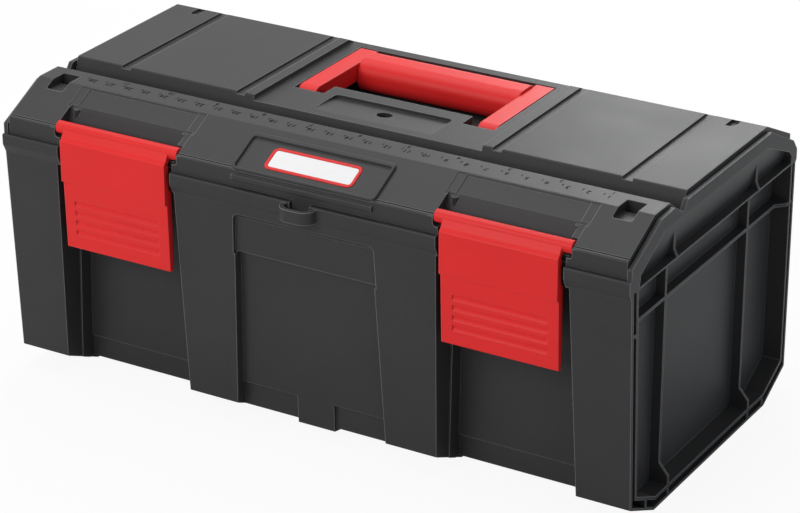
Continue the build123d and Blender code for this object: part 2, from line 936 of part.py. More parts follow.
def lid_latch_room():
    # Wide round the barrel, with a back wall that leans away from it, and narrower below it,
    # down through the skirt of the lid.
    edge_z = slope_z(room_back_y) - field_depth - room_edge
    edge_y = room_back_y + room_edge
    points = [
        (near_y, room_floor_z),
        (room_foot_y, room_floor_z),
        (room_back_y, edge_z),
        (edge_y, slope_z(edge_y) - field_depth),
        (edge_y, far_z),
        (near_y, far_z),
    ]
    room = prism(points, latch_mid_x - room_half, latch_mid_x + room_half)
    corners = room.edges().filter_by(Axis.Y).group_by(Axis.Z)[0]
    room = fillet(corners, room_round)
    skirt = box(latch_mid_x - ledge_opening_half, latch_mid_x + ledge_opening_half, near_y, room_skirt_y,
                lid_low_z - over, room_floor_z + over)
    reach = room_half + journal_length
    hole = rod(latch_mid_x - reach, latch_mid_x + reach, latch_axis_y, latch_axis_z,
               journal_radius + pin_fit)
    return room + skirt + hole


def lid_latch_corner(middle):
    # One back corner of each room is filled up to a little below the slope.
    front = room_back_y - room_corner_depth
    points = [
        (front, room_floor_z - lap),
        (room_back_y + lap, room_floor_z - lap),
        (room_back_y + lap, slope_z(room_back_y) - room_corner_drop),
        (front, slope_z(front) - room_corner_drop),
    ]
    return prism(points, middle + latch_half + boss_offset, middle + room_half + lap)


def slope_recess(half, depth):
    top_y = shelf_front_y - field_top_gap
    ramp_y = top_y - field_ramp
    low_y = room_back_y - over
    points = [
        (top_y, far_z),
        (top_y, slope_z(top_y)),
        (ramp_y, slope_z(ramp_y) - depth),
        (low_y, slope_z(low_y) - depth),
        (low_y, far_z),
    ]
    return prism(points, latch_mid_x - half, latch_mid_x + half)


def lid_latch_field():
    # The sloped face behind each latch is lowered, with a shallower strip at each side.
    half = latch_half + field_margin
    return slope_recess(half, field_depth) + slope_recess(half + strip_width, strip_depth)


def lid_latch_bosses():
    z0 = room_floor_z - over
    z1 = slope_z(room_back_y) - boss_top_drop
    column = Pos(0, room_back_y, (z0 + z1) / 2) * Cylinder(boss_radius, z1 - z0)
    reach = latch_half + boss_offset
    return Pos(latch_mid_x - reach, 0, 0) * column + Pos(latch_mid_x + reach, 0, 0) * column


def handle_well_block():
    half = well_half + well_wall
    front = well_front_y - well_wall
    back = arm_back_y + well_back_gap + well_wall
    block = box(-half, half, front, back, lid_low_z, zone_z - lap)
    boss_end = well_half + handle_pin_seat + handle_boss_end
    boss = rod(well_half, boss_end, handle_axis_y, handle_axis_z, handle_boss_radius)
    return block + both(boss)


def handle_well():
    back = arm_back_y + well_back_gap
    slot = box(well_lip_half, well_half, well_front_y, back, well_floor_z, far_z)
    middle = box(-well_lip_half, well_lip_half, well_lip_y, back, well_floor_z, far_z)
    seat = rod(well_half - over, well_half + handle_pin_seat, handle_axis_y, handle_axis_z,
               handle_pin_radius)
    return both(slot + seat) + middle


def under_lip_space():
    # Empty room under the lip between the two arm slots.
    return box(-well_lip_half, well_lip_half, well_front_y, well_lip_y + over, well_floor_z,
               panel_under_z)


def label_plane(offset):
    normal_y = -(height - fold_front_z)
    normal_z = shelf_front_y - lid_front_y
    origin = (0.0, label_mid_y, slope_z(label_mid_y))
    plane = Plane(origin=origin, x_dir=(1, 0, 0), z_dir=(0, normal_y, normal_z))
    return plane.offset(offset)


def label_recess():
    wide = 2 * (label_half + label_gap)
    tall = label_height + 2 * label_gap
    shape = RectangleRounded(wide, tall, label_radius + label_gap)
    return extrude(label_plane(-label_sink) * shape, amount=label_sink + over)


def make_label():
    shape = RectangleRounded(2 * label_half, label_height, label_radius)
    return extrude(label_plane(-label_sink) * shape, amount=label_thickness)


def label_bead():
    # The raised bead round the label field, wider along its top.
    slope_length = math.hypot(shelf_front_y - lid_front_y, height - fold_front_z)
    share = slope_length / (shelf_front_y - lid_front_y)
    up = (shelf_front_y - bead_top_inset - label_mid_y) * share
    down = (label_mid_y - lid_front_y) * share
    outer = Pos(0, (up - down) / 2) * RectangleRounded(2 * bead_half, up + down, bead_radius)
    inner_up = up - bead_top_width
    inner_down = down - bead_width
    inner_wide = 2 * (bead_half - bead_width)
    inner = Pos(0, (inner_up - inner_down) / 2) * RectangleRounded(inner_wide, inner_up + inner_down,
                                                                   bead_inner_radius)
    ring = extrude(label_plane(-bead_root) * (outer - inner), amount=bead_height + bead_root)
    crest = ring.faces().sort_by(Axis(label_plane(0.0).origin, label_plane(0.0).z_dir))[-1]
    return fillet(crest.edges(), bead_round)


def label_lip():
    # A rounded lip that runs under the front fold along the label field.
    points = [
        (lid_front_y + over, lip_low_z),
        (lid_front_y - lip_stand, lip_low_z),
        (lid_front_y - lip_stand, lip_low_z + lip_height),
        (lid_front_y + over, lip_low_z + lip_height),
    ]
    half = bead_half - lip_inset
    return prism(points, -half, half, [0.0, lip_round, lip_round, 0.0])


def tongue():
    return box(-tongue_half, tongue_half, lid_front_y, tongue_back_y, tongue_low_z, lid_low_z + over)


def lid_knuckle():
    x0 = hinge_in + hinge_knuckle + knuckle_gap
    x1 = hinge_out - hinge_knuckle - knuckle_gap
    barrel = rod(x0, x1, hinge_y, hinge_z, knuckle_radius)
    low = hinge_z + parting_gap
    web = box(x0, x1, lid_back_y - over, hinge_y, low, hinge_z + knuckle_radius)
    return barrel + web


def shelf_slot():
    floor = pad(slot_in, slot_out, slot_front_y, slot_back_y, height - slot_depth, far_z, slot_corner)
    pit = pad(slot_in, slot_out, slot_pit_y, slot_back_y, height - slot_pit_depth, far_z, slot_corner)
    return floor + pit


def shelf_slot_block():
    x0 = slot_in - wall
    x1 = lid_wall_in + lap
    back = slot_back_y + wall
    block = box(x0, x1, slot_front_y - wall, back, height - slot_depth - wall, height)
    block = block + box(x0, x1, slot_pit_y - wall, back, height - slot_pit_depth - wall, height)
    return block & prism(lid_outline(), 0.0, half_length)


def fold_line():
    # A fine groove along the slope, just above the front fold.
    slope_length = math.hypot(shelf_front_y - lid_front_y, height - fold_front_z)
    along_y = (shelf_front_y - lid_front_y) / slope_length
    along_z = (height - fold_front_z) / slope_length
    points = []
    for reach, rise in ((0.0, over), (0.0, -fold_line_depth), (fold_line_width, -fold_line_depth),
                        (fold_line_width, over)):
        y = lid_front_y + along_y * (fold_line_rise + reach) - along_z * rise
        z = fold_front_z + along_z * (fold_line_rise + reach) + along_y * rise
        points.append((y, z))
    return prism(points, -half_length, half_length)


def panel_block():
    # Thicker skin under the centre panel and its dimple.
    block = box(-panel_half - wall, panel_half + wall, panel_front_y - wall, panel_back_y + wall,
                panel_under_z, zone_z - lap)
    low = zone_z - dimple_depth - panel_wall
    boss = Pos(0, dimple_y, (low + panel_floor_z) / 2) * Cylinder(dimple_radius + wall, panel_floor_z - low)
    return block + boss


def panel_recess():
    # Its floor rises from its full depth at the back until it is flush in front.
    points = [
        (panel_front_y, zone_z),
        (panel_back_y, panel_floor_z),
        (panel_back_y, far_z),
        (panel_front_y, far_z),
    ]
    block = pad(-panel_half, panel_half, panel_front_y - panel_round, panel_back_y, panel_floor_z,
                far_z, panel_round)
    return block & prism(points, -panel_half, panel_half)


def lid_top_cuts():
    cuts = panel_recess()
    front = top_front_y - line_front_run
    back = top_back_y + line_back_run
    lines = ((zone_half + strip_line_offset, strip_line_width), (outer_line_x, outer_line_width))
    for x, width in lines:
        line = box(x - width / 2, x + width / 2, front, back, height - line_depth, far_z)
        cuts = cuts + both(line)
    notch_front = top_back_y - corner_notch_front
    notch = box(corner_notch_in, corner_notch_out, notch_front, top_back_y + over,
                height - corner_notch_depth, far_z)
    dimple_floor_z = zone_z - dimple_depth
    dimple = Pos(0, dimple_y, (dimple_floor_z + far_z) / 2) * Cylinder(dimple_radius,
                                                                       far_z - dimple_floor_z)
    return cuts + both(notch) + dimple


def knuckle_room():
    # Room in the lid for the two base knuckles of one hinge.
    radius = knuckle_radius + knuckle_gap
    shape = rod(hinge_in - knuckle_gap, hinge_in + hinge_knuckle + knuckle_gap, hinge_y, hinge_z, radius)
    x0 = hinge_out - hinge_knuckle - knuckle_gap
    return shape + rod(x0, hinge_out + knuckle_gap, hinge_y, hinge_z, radius)


def make_lid():
    lid = make_lid_skin()
    lid = lid + both(lid_latch_blocks() + shelf_slot_block())
    lid = lid + handle_well_block() + panel_block()
    lid = lid - fold_line()
    lid = lid + label_bead() + label_lip()
    lid = lid + tongue()
    lid = lid - both(lid_latch_field())
    lid = lid - both(lid_latch_room())
    lid = lid + both(lid_latch_bosses())
    lid = lid + lid_latch_corner(-latch_mid_x) + lid_latch_corner(latch_mid_x)
    lid = lid - both(shelf_slot())
    lid = lid - handle_well()
    lid = lid - under_lip_space()
    lid = lid - lid_top_cuts()
    lid = lid - label_recess()
    lid = lid - both(pocket_back_block(side_gap))
    lid = lid - both(knuckle_room())
    lid = lid + both(lid_knuckle())
    return lid - both(rod(hinge_in, hinge_out, hinge_y, hinge_z, hinge_pin_radius + pin_fit))


def make_hinge_pins():
    x0 = hinge_in + pin_end_gap
    x1 = hinge_out - pin_end_gap
    return both(rod(x0, x1, hinge_y, hinge_z, hinge_pin_radius))


def latch_face_line(z):
    # Y of the lower front face of a latch, which leans towards its tip.
    share = (z - latch_bottom_z) / (latch_step_z - latch_bottom_z)
    return latch_tip_y + (latch_low_face_y - latch_tip_y) * share


def latch_body(x0, x1):
    t = latch_plate
    crown = math.radians(crown_angle)
    crown_y = latch_axis_y - barrel_radius * math.cos(crown)
    crown_z = latch_axis_z + barrel_radius * math.sin(crown)
    points = [
        (crown_y, crown_z),
        (latch_face_y + latch_crease_run, latch_crease_z + latch_crease_rise),
        (latch_face_y, latch_crease_z),
        (latch_face_y, latch_step_z),
        (latch_low_face_y, latch_step_z - lap),
        (latch_tip_y, latch_bottom_z),
        (latch_tip_y + t, latch_bottom_z + lap),
        (latch_low_face_y + t, latch_step_z - t),
        (latch_face_y + t, latch_step_z + over),
        (latch_face_y + t, latch_crease_z - over),
        (latch_axis_y - over, latch_axis_z - barrel_radius + lap),
    ]
    rounds = [0.0, latch_round, latch_round, 0.0, 0.0, edge_round, 0.0, 0.0, 0.0, 0.0, 0.0]
    return prism(points, x0, x1, rounds)


def latch_flange_plate(x0, x1):
    points = [
        (latch_face_y + lap, latch_crease_z - over),
        (latch_face_y + lap, latch_step_z + lap),
        (latch_low_face_y + lap, latch_step_z - over),
        (latch_tip_y + lap, latch_bottom_z + lap),
        (latch_back_y - lap, latch_bottom_z + latch_tip_chamfer),
        (latch_back_y, latch_bottom_z + latch_tip_run),
        (latch_back_y, bay_top_z - latch_flange_top_gap),
        (latch_face_y + latch_slim_stand, bay_top_z),
        (latch_face_y + latch_slim_stand, latch_crease_z - over),
    ]
    return prism(points, x0, x1)


def latch_hook(middle):
    # The catch on the back of a latch, which snaps under the ledge of the base.
    half = latch_half - hook_inset
    high = bay_top_z - hook_top_gap
    low = high - hook_rise
    root_y = latch_face_y + latch_plate - lap
    points = [
        (root_y, low - hook_chamfer),
        (latch_back_y, low + hook_chamfer),
        (latch_back_y, high),
        (root_y, high),
    ]
    return prism(points, middle - half, middle + half)


def make_latch(middle):
    x0 = middle - latch_half
    x1 = middle + latch_half
    latch = latch_body(x0, x1)
    latch = latch + latch_flange_plate(x0, x0 + latch_flange)
    latch = latch + latch_flange_plate(x1 - latch_flange, x1)
    latch = latch + latch_hook(middle)
    half = latch_half - grip_line_margin
    for i in range(grip_line_count):
        z = latch_step_z - grip_line_drop - i * grip_line_pitch
        y = latch_face_line(z) + grip_line_depth - grip_line_radius
        latch = latch - rod(middle - half, middle + half, y, z, grip_line_radius)
    journal_half = room_half + journal_length - journal_end_gap
    for half, radius in ((barrel_half, barrel_radius), (journal_half, journal_radius)):
        latch = latch + rod(middle - half, middle + half, latch_axis_y, latch_axis_z, radius)
    return latch


def arm():
    points = [
        (handle_axis_y, arm_low_z - arm_heel_drop),
        (handle_axis_y + arm_heel_run, arm_low_z),
        (arm_back_y, arm_low_z),
        (arm_back_y, zone_z),
        (handle_axis_y, zone_z),
    ]
    shape = prism(points, arm_in, arm_out, [0.0, 0.0, arm_round, arm_round, 0.0])
    shape = shape + rod(arm_in, arm_out, handle_axis_y, handle_axis_z, arm_end_radius)
    return shape - rod(arm_in - over, arm_out + over, handle_axis_y, handle_axis_z,
                       handle_pin_radius + pin_fit)


def grip_rod(half, radius):
    return rod(-half, half, grip_back_y - grip_depth / 2, grip_high_z - grip_height / 2, radius)


def make_bail():
    return both(arm()) + grip_rod(arm_in + over, bar_radius)


def make_grip():
    half = arm_in - grip_end_gap
    front = grip_back_y - grip_depth
    low = grip_high_z - grip_height
    points = [(front, low), (grip_back_y, low), (grip_back_y, grip_high_z), (front, grip_high_z)]
    rounds = [grip_radius, grip_radius, grip_back_radius, grip_radius]
    sleeve = prism(points, -half, half, rounds)
    return sleeve - grip_rod(half + over, bar_radius + pin_fit)


def make_handle_pins():
    x0 = arm_out - handle_pin_grip
    x1 = well_half + handle_pin_seat - journal_end_gap
    return both(rod(x0, x1, handle_axis_y, handle_axis_z, handle_pin_radius))


nodes = {
    "base_shell": make_base(),
    "lid_shell": make_lid(),
    "hinge_pins": make_hinge_pins(),
    "latch_left": make_latch(-latch_mid_x),
    "latch_right": make_latch(latch_mid_x),
    "handle_bail": make_bail(),
    "handle_grip": make_grip(),
    "handle_pins": make_handle_pins(),
    "label_plate": make_label(),
}

os.makedirs("parts", exist_ok=True)
for name, shape in nodes.items():
    export_step(shape, "parts/" + name + ".step")
    low = shape.bounding_box().min
    high = shape.bounding_box().max
    print(name, len(shape.solids()), round(shape.volume / 1000, 1), low, high)
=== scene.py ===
import json
import math
import bmesh
import bpy
import numpy as np
from mathutils import Matrix, Vector

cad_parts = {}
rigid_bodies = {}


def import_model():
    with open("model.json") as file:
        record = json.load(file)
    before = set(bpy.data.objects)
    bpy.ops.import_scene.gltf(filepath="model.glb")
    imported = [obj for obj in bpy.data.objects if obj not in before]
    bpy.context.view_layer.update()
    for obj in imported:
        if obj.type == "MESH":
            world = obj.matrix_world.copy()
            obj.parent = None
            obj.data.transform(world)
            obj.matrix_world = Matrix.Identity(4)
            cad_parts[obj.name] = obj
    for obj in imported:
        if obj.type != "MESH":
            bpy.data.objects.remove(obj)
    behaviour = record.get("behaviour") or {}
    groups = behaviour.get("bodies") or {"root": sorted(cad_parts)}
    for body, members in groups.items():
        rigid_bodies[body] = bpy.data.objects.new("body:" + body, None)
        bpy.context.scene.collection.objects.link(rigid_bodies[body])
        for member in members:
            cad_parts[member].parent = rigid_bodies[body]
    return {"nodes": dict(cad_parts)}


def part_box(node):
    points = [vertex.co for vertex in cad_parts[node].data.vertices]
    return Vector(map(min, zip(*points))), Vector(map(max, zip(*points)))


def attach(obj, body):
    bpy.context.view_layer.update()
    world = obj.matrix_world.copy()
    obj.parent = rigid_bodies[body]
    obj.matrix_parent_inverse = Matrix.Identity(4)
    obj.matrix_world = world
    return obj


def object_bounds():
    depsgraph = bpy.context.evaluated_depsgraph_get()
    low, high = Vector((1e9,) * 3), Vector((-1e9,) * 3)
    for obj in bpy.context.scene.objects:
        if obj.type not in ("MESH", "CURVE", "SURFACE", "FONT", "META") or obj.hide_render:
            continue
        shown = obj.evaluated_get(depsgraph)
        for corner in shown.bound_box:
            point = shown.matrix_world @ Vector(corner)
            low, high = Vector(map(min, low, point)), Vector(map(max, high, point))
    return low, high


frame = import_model()
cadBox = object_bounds()
nodes = frame["nodes"]
scene = bpy.context.scene
scene.view_settings.view_transform = "Standard"
print("frame loaded:", len(nodes), "nodes")

# camera, where the picture was taken from: metres and degrees
cameraValues = {
    "place": (0.6682, -1.1306, 0.6638),
    "azimuth": 30.487,
    "elevation": 24.524,
    "roll": -0.037,
    "lens": 138.24,
    "sensor": 36.0,
}


def makeCamera(v):
    # the columns of the turn are right, up and back; back points from the box to the camera
    az, el, roll = (math.radians(v[k]) for k in ("azimuth", "elevation", "roll"))
    right = Vector((math.cos(az), math.sin(az), 0))
    back = Vector((math.sin(az) * math.cos(el), -math.cos(az) * math.cos(el), math.sin(el)))
    turn = Matrix((right, back.cross(right), back)).transposed() @ Matrix.Rotation(roll, 3, "Z")
    data = bpy.data.cameras.new("photoCamera")
    data.lens = v["lens"]
    data.sensor_width = v["sensor"]
    data.sensor_fit = "HORIZONTAL"
    data.clip_start = 0.05
    data.clip_end = 20
    camera = bpy.data.objects.new("photoCamera", data)
    camera.matrix_world = Matrix.Translation(v["place"]) @ turn.to_4x4()
    scene.collection.objects.link(camera)
    scene.camera = camera


makeCamera(cameraValues)


# small helpers for node trees
def put(tree, made, key, value):
    # a socket is wired in, anything else is the input's own value
    if isinstance(value, bpy.types.NodeSocket):
        tree.links.new(value, made.inputs[key])
    else:
        made.inputs[key].default_value = value


def addNode(tree, kind, inputs=None, **settings):
    made = tree.nodes.new(kind)
    for name, value in settings.items():
        setattr(made, name, value)
    for key, value in (inputs or {}).items():
        put(tree, made, key, value)
    return made


def sums(tree, operation, *values, clamp=False):
    made = addNode(tree, "ShaderNodeMath", dict(enumerate(values)), operation=operation, use_clamp=clamp)
    return made.outputs[0]


def remap(tree, value, low, high, toLow=0.0, toHigh=1.0):
    # straight line from low..high to toLow..toHigh, held at both ends
    inputs = {0: value, 1: low, 2: high, 3: toLow, 4: toHigh}
    return addNode(tree, "ShaderNodeMapRange", inputs, clamp=True).outputs[0]


def mixColor(tree, share, one, other, blend="MIX"):
    made = addNode(tree, "ShaderNodeMix", {0: share}, data_type="RGBA", blend_type=blend)
    put(tree, made, 6, one)
    put(tree, made, 7, other)
    return made.outputs[2]


def newMaterial(name):
    made = bpy.data.materials.new(name)
    made.use_nodes = True
    made.node_tree.nodes.clear()
    return made, made.node_tree


def newGroup(name, inputs, outputs):
    group = bpy.data.node_groups.new(name, "ShaderNodeTree")
    for label, start in inputs.items():
        socket = group.interface.new_socket(label, in_out="INPUT", socket_type="NodeSocketFloat")
        socket.default_value = start
    for label, kind in outputs.items():
        group.interface.new_socket(label, in_out="OUTPUT", socket_type=kind)
    return group, group.nodes.new("NodeGroupInput").outputs, group.nodes.new("NodeGroupOutput")


def useGroup(tree, group, values):
    made = tree.nodes.new("ShaderNodeGroup")
    made.node_tree = group
    for key, value in values.items():
        put(tree, made, key, value)
    return made.outputs


# studio: white room and pale floor, soft lamps; the top of the lid mirrors the one at the back
studioValues = {
    "skyForDiffuse": 0.25,
    "floorColor": (0.88, 0.88, 0.88, 1),
    "floorGlow": 0.92,
    "floorSize": 6.0,
    "lamps": {
        "softboxAbove": {"place": (-0.40, 0.12, 1.15), "aim": (0, 0, 0.1), "size": (0.9, 0.7),
                         "power": 6.8, "color": (1, 1, 1)},
        "softboxBack": {"place": (-0.08, 0.74, 0.50), "aim": (0.08, 0, 0.14), "size": (0.42, 0.34),
                        "power": 2.9, "color": (1, 1, 1)},
        "fillRight": {"place": (1.35, 0.05, 0.40), "aim": (0, 0, 0.08), "size": (0.8, 0.8),
                      "power": 1.6, "color": (0.74, 0.89, 1)},
        "fillFront": {"place": (-0.40, -1.4, 0.85), "aim": (0, 0, 0.08), "size": (1.0, 0.8),
                      "power": 11.4, "color": (1, 1, 1)},
    },
}


def makeStudio(v):
    world = bpy.data.worlds.new("studioWorld")
    scene.world = world
    world.use_nodes = True
    tree = world.node_tree
    tree.nodes.clear()
    path = addNode(tree, "ShaderNodeLightPath").outputs
    mirrored = sums(tree, "MAXIMUM", path["Is Glossy Ray"], path["Is Transmission Ray"])
    seen = sums(tree, "MAXIMUM", path["Is Camera Ray"], mirrored)
    strength = remap(tree, seen, 0, 1, v["skyForDiffuse"], 1.0)
    sky = addNode(tree, "ShaderNodeBackground", {"Color": (1, 1, 1, 1), "Strength": strength})
    addNode(tree, "ShaderNodeOutputWorld", {"Surface": sky.outputs[0]})

    half = v["floorSize"] / 2
    mesh = bpy.data.meshes.new("studioFloor")
    corners = [(-half, -half, 0), (half, -half, 0), (half, half, 0), (-half, half, 0)]
    mesh.from_pydata(corners, [], [(0, 1, 2, 3)])
    floor = bpy.data.objects.new("studioFloor", mesh)
    scene.collection.objects.link(floor)
    material, tree = newMaterial("paleFloor")
    path = addNode(tree, "ShaderNodeLightPath").outputs
    cloth = addNode(tree, "ShaderNodeBsdfDiffuse", {"Color": v["floorColor"]})
    glow = addNode(tree, "ShaderNodeEmission", {"Color": (1, 1, 1, 1), "Strength": 1.0})
    share = sums(tree, "MULTIPLY", path["Is Camera Ray"], v["floorGlow"])
    both = addNode(tree, "ShaderNodeMixShader", {0: share, 1: cloth.outputs[0], 2: glow.outputs[0]})
    addNode(tree, "ShaderNodeOutputMaterial", {"Surface": both.outputs[0]})
    mesh.materials.append(material)

    for name, lamp in v["lamps"].items():
        data = bpy.data.lights.new(name, "AREA")
        data.shape = "RECTANGLE"
        data.size, data.size_y = lamp["size"]
        data.energy = lamp["power"]
        data.color = lamp["color"]
        made = bpy.data.objects.new(name, data)
        away = Vector(lamp["place"]) - Vector(lamp["aim"])
        turn = away.to_track_quat("Z", "Y").to_matrix().to_4x4()
        made.matrix_world = Matrix.Translation(lamp["place"]) @ turn
        scene.collection.objects.link(made)


makeStudio(studioValues)
print("studio ready")


# shared effects: a painted highlight on outer edges and painted shade in inner corners, over a rounded
# normal;
# turned is the cosine between the rounded and the flat normal, at no edge and at a full one, and openness is
# how free a point is, at none and at all of each mask
edgeValues = {"radius": 0.0006, "creaseReach": 0.001, "turned": (0.995, 0.86),
              "highlightOpenness": (0.50, 0.74), "creaseShadeOpenness": (0.70, 0.35), "samples": 8}


def makeEdgeGroup(v):
    # the normal is rounded over the edges; one mask marks the outer corners for a painted highlight and the
    # other the inner ones for painted shade
    group, given, out = newGroup(
        "edgeRounding",
        {"Radius": v["radius"], "Crease Reach": v["creaseReach"]},
        {"Edge Highlight": "NodeSocketFloat", "Crease": "NodeSocketFloat", "Normal": "NodeSocketVector"},
    )
    rounded = addNode(group, "ShaderNodeBevel", {"Radius": given["Radius"]}, samples=v["samples"]).outputs[0]
    flat = addNode(group, "ShaderNodeNewGeometry").outputs["True Normal"]
    along = addNode(group, "ShaderNodeVectorMath", {0: rounded, 1: flat}, operation="DOT_PRODUCT")
    turned = remap(group, along.outputs["Value"], *v["turned"])
    shade = addNode(group, "ShaderNodeAmbientOcclusion", {"Distance": given["Crease Reach"]},
                    samples=v["samples"], only_local=True).outputs["AO"]
    # painted highlight mask: outer edges, held back near grooves and inner corners
    put(group, out, "Edge Highlight", sums(group, "MULTIPLY", turned, remap(group, shade, *v["highlightOpenness"])))
    # painted shade mask: high where ambient occlusion finds inner corners
    put(group, out, "Crease", remap(group, shade, *v["creaseShadeOpenness"]))
    put(group, out, "Normal", rounded)
    return group


grainValues = {"grainPerMetre": 2600.0, "patchPerMetre": 28.0, "fine": (2.0, 0.6), "slow": (4.0, 0.55),
               "patchRange": (0.3, 0.7), "speckRange": (0.56, 0.72)}


def makeGrainGroup(v):
    # fine spark-eroded grain for the bump, and slow soft patches for colour and gloss
    group, given, out = newGroup(
        "mouldGrain",
        {"Grain Per Metre": v["grainPerMetre"], "Patch Per Metre": v["patchPerMetre"]},
        {"Height": "NodeSocketFloat", "Patches": "NodeSocketFloat", "Specks": "NodeSocketFloat"},
    )
    place = addNode(group, "ShaderNodeTexCoord").outputs["Object"]
    noises = []
    for scale, (detail, rough) in (("Grain Per Metre", v["fine"]), ("Patch Per Metre", v["slow"])):
        noises.append(addNode(group, "ShaderNodeTexNoise", {
            "Vector": place, "Scale": given[scale], "Detail": detail, "Roughness": rough}).outputs["Fac"])
    fine, slow = noises
    put(group, out, "Height", fine)
    put(group, out, "Patches", remap(group, slow, *v["patchRange"]))
    put(group, out, "Specks", remap(group, fine, *v["speckRange"]))
    return group


edgeRounding = makeEdgeGroup(edgeValues)
mouldGrain = makeGrainGroup(grainValues)

plasticValues = {
    # in each finish the edge colour is a painted highlight on outer edges and also the tone of the light
    # grain specks, and the crease colour is painted shade in inner corners
    "shellPlastic": {
        "color": (0.042, 0.042, 0.044, 1), "speckAndHighlightColor": (0.34, 0.34, 0.35, 1),
        "creaseShadeColor": (0.012, 0.012, 0.0125, 1), "patch": 0.10, "specks": 0.05, "edge": 0.7,
        "crease": 0.5, "radius": 0.0006, "creaseReach": 0.001, "rough": (0.41, 0.47),
        "specular": 0.15, "grain": 2600.0, "bump": 0.00003,
    },
    # the scale's marks are darker than the shell: painted shade standing in for the shading of raised moulded
    # numerals and ticks
    "scalePlastic": {
        "color": (0.012, 0.012, 0.013, 1), "speckAndHighlightColor": (0.05, 0.05, 0.05, 1),
        "creaseShadeColor": (0.008, 0.008, 0.008, 1), "patch": 0.10, "specks": 0.05, "edge": 0.2,
        "crease": 0.0, "radius": 0.0001, "creaseReach": 0.0005, "rough": (0.80, 0.90),
        "specular": 0.0, "grain": 2600.0, "bump": 0.00002,
    },
    "redPlastic": {
        "color": (0.78, 0.022, 0.022, 1), "speckAndHighlightColor": (0.88, 0.13, 0.12, 1),
        "creaseShadeColor": (0.25, 0.004, 0.006, 1), "patch": 0.06, "specks": 0.02, "edge": 0.35,
        "crease": 0.4, "radius": 0.0008, "creaseReach": 0.001, "rough": (0.38, 0.44),
        "specular": 0.20, "grain": 3000.0, "bump": 0.00001,
    },
}


def makePlastic(name, v):
    material, tree = newMaterial(name)
    grain = useGroup(tree, mouldGrain, {"Grain Per Metre": v["grain"]})
    edge = useGroup(tree, edgeRounding, {"Radius": v["radius"], "Crease Reach": v["creaseReach"]})
    darker = tuple(c * (1 - v["patch"]) for c in v["color"][:3]) + (1,)
    color = mixColor(tree, grain["Patches"], darker, v["color"])
    # light grain specks, painted shade in inner corners and a painted highlight on outer edges are mixed into
    # the colour
    for share, strength, tone in ((grain["Specks"], v["specks"], v["speckAndHighlightColor"]),
                                  (edge["Crease"], v["crease"], v["creaseShadeColor"]),
                                  (edge["Edge Highlight"], v["edge"], v["speckAndHighlightColor"])):
        color = mixColor(tree, sums(tree, "MULTIPLY", share, strength), color, tone)
    bump = addNode(tree, "ShaderNodeBump", {
        "Strength": 1.0, "Distance": v["bump"], "Height": grain["Height"], "Normal": edge["Normal"]})
    shader = addNode(tree, "ShaderNodeBsdfPrincipled", {
        "Base Color": color,
        "Roughness": remap(tree, grain["Patches"], 0, 1, *v["rough"]),
        "Specular IOR Level": v["specular"],
        "Normal": bump.outputs[0],
    })
    addNode(tree, "ShaderNodeOutputMaterial", {"Surface": shader.outputs[0]})
    return material


shellPlastic, scalePlastic, redPlastic = (
    makePlastic(name, plasticValues[name]) for name in ("shellPlastic", "scalePlastic", "redPlastic"))

labelValues = {"dark": (0.80, 0.80, 0.81, 1), "light": (0.86, 0.86, 0.87, 1), "rough": (0.30, 0.38),
               "grain": 1800.0, "patches": 60.0, "bump": 0.000006, "specular": 0.3}


def makeLabelWhite(v):
    material, tree = newMaterial("labelWhite")
    grain = useGroup(tree, mouldGrain, {"Grain Per Metre": v["grain"], "Patch Per Metre": v["patches"]})
    bump = addNode(tree, "ShaderNodeBump", {
        "Strength": 1.0, "Distance": v["bump"], "Height": grain["Height"]})
    shader = addNode(tree, "ShaderNodeBsdfPrincipled", {
        "Base Color": mixColor(tree, grain["Patches"], v["dark"], v["light"]),
        "Roughness": remap(tree, grain["Patches"], 0, 1, *v["rough"]),
        "Specular IOR Level": v["specular"],
        "Normal": bump.outputs[0],
    })
    addNode(tree, "ShaderNodeOutputMaterial", {"Surface": shader.outputs[0]})
    return material


steelValues = {"dark": (0.50, 0.50, 0.51, 1), "light": (0.66, 0.66, 0.67, 1), "rough": (0.28, 0.42),
               "linesPerMetre": (120.0, 6000.0, 6000.0), "brushRange": (0.3, 0.7), "bump": 0.000008}


def makePinSteel(v):
    # drawn wire: fine lines along X
    material, tree = newMaterial("pinSteel")
    place = addNode(tree, "ShaderNodeTexCoord").outputs["Object"]
    lines = addNode(tree, "ShaderNodeMapping", {"Vector": place, "Scale": v["linesPerMetre"]}).outputs[0]
    brush = addNode(tree, "ShaderNodeTexNoise", {"Vector": lines, "Scale": 1.0, "Detail": 3.0}).outputs["Fac"]
    bump = addNode(tree, "ShaderNodeBump", {"Strength": 1.0, "Distance": v["bump"], "Height": brush})
    shader = addNode(tree, "ShaderNodeBsdfPrincipled", {
        "Base Color": mixColor(tree, brush, v["dark"], v["light"]),
        "Metallic": 1.0,
        "Roughness": remap(tree, brush, *v["brushRange"], *v["rough"]),
        "Normal": bump.outputs[0],
    })
    addNode(tree, "ShaderNodeOutputMaterial", {"Surface": shader.outputs[0]})
    return material


nodeFinish = {"label_plate": makeLabelWhite(labelValues)}
nodeFinish.update(dict.fromkeys(("base_shell", "lid_shell"), shellPlastic))
nodeFinish.update(dict.fromkeys(("latch_left", "latch_right", "handle_bail", "handle_grip"), redPlastic))
nodeFinish.update(dict.fromkeys(("hinge_pins", "handle_pins"), makePinSteel(steelValues)))
for name, material in nodeFinish.items():
    for slot in nodes[name].material_slots:
        slot.material = material
print("finishes on", len(nodeFinish), "nodes")


